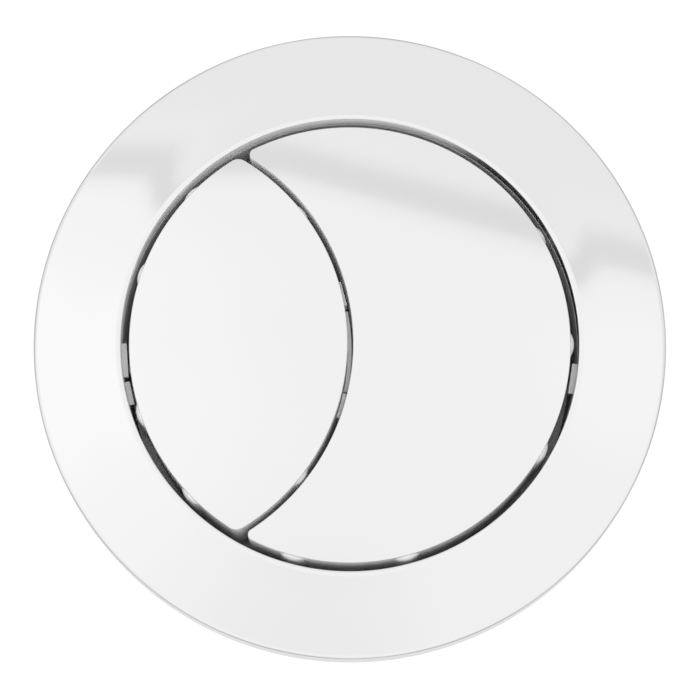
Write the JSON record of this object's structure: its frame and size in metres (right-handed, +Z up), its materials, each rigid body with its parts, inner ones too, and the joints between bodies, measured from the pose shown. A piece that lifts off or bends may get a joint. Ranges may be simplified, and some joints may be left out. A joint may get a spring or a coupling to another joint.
{
  "type": "dual flush button",
  "caption": "Round chromed dual flush button for a cistern lid: lens-shaped half flush and crescent full flush buttons in a flat bezel, on a threaded tail with sprung push rods.",
  "frame": {"origin": "centre of the tail in the plane of the cistern lid's top surface", "axes": "+Z up out of the lid along the buttons' travel, -X towards the half flush button"},
  "size_m": [0.0734, 0.0734, 0.091],
  "materials": {
    "chrome_plate": "polished chrome plate on moulded ABS",
    "white_abs": "satin moulded white ABS",
    "grey_abs": "satin moulded ABS",
    "white_acetal": "smooth moulded acetal",
    "closed_cell_foam": "die-cut closed-cell foam",
    "black_rubber": "matt moulded rubber",
    "spring_steel": "bright drawn stainless wire and strip",
    "zinc_plated_steel": "bright zinc plate",
    "grey_polyethylene": "smooth moulded polyethylene"
  },
  "bodies": {
    "housing": {"bezel": "chrome_plate", "housing": "white_abs", "seat_flange": "white_abs", "seat_gasket": "closed_cell_foam", "half_spring": "spring_steel", "full_spring": "spring_steel"},
    "half_button": {"half_flush_button": "chrome_plate", "half_plunger": "white_acetal", "half_retaining_clip": "spring_steel", "half_push_rod": "zinc_plated_steel", "half_rod_lock_nut": "zinc_plated_steel", "half_rod_tip": "grey_polyethylene"},
    "full_button": {"full_flush_button": "chrome_plate", "full_plunger": "white_acetal", "full_retaining_clip": "spring_steel", "full_push_rod": "zinc_plated_steel", "full_rod_lock_nut": "zinc_plated_steel", "full_rod_tip": "grey_polyethylene"},
    "nut_washer": {"nut_washer": "black_rubber"},
    "back_nut": {"back_nut": "grey_abs"}
  },
  "joints": [
    {"name": "half_button_press", "type": "slide", "parent": "housing", "child": "half_button", "axis": [0, 0, -1], "range_m": [0, 0.008], "stiffness_N_per_m": 400, "springref_m": -0.005, "deforming": ["half_spring"]},
    {"name": "full_button_press", "type": "slide", "parent": "housing", "child": "full_button", "axis": [0, 0, -1], "range_m": [0, 0.008], "stiffness_N_per_m": 400, "springref_m": -0.005, "deforming": ["full_spring"]},
    {"name": "nut_travel", "type": "slide", "parent": "housing", "child": "nut_washer", "axis": [0, 0, 1], "range_m": [-0.009, 0.009]},
    {"name": "nut_turn", "type": "hinge", "parent": "nut_washer", "child": "back_nut", "pos_m": [0, 0, -0.021], "axis": [0, 0, 1], "range_deg": [-1085, 1085]}
  ],
  "couplings": [
    {"joint": "nut_turn", "follows": "nut_travel", "rad_per_m": 2094.4}
  ]
}
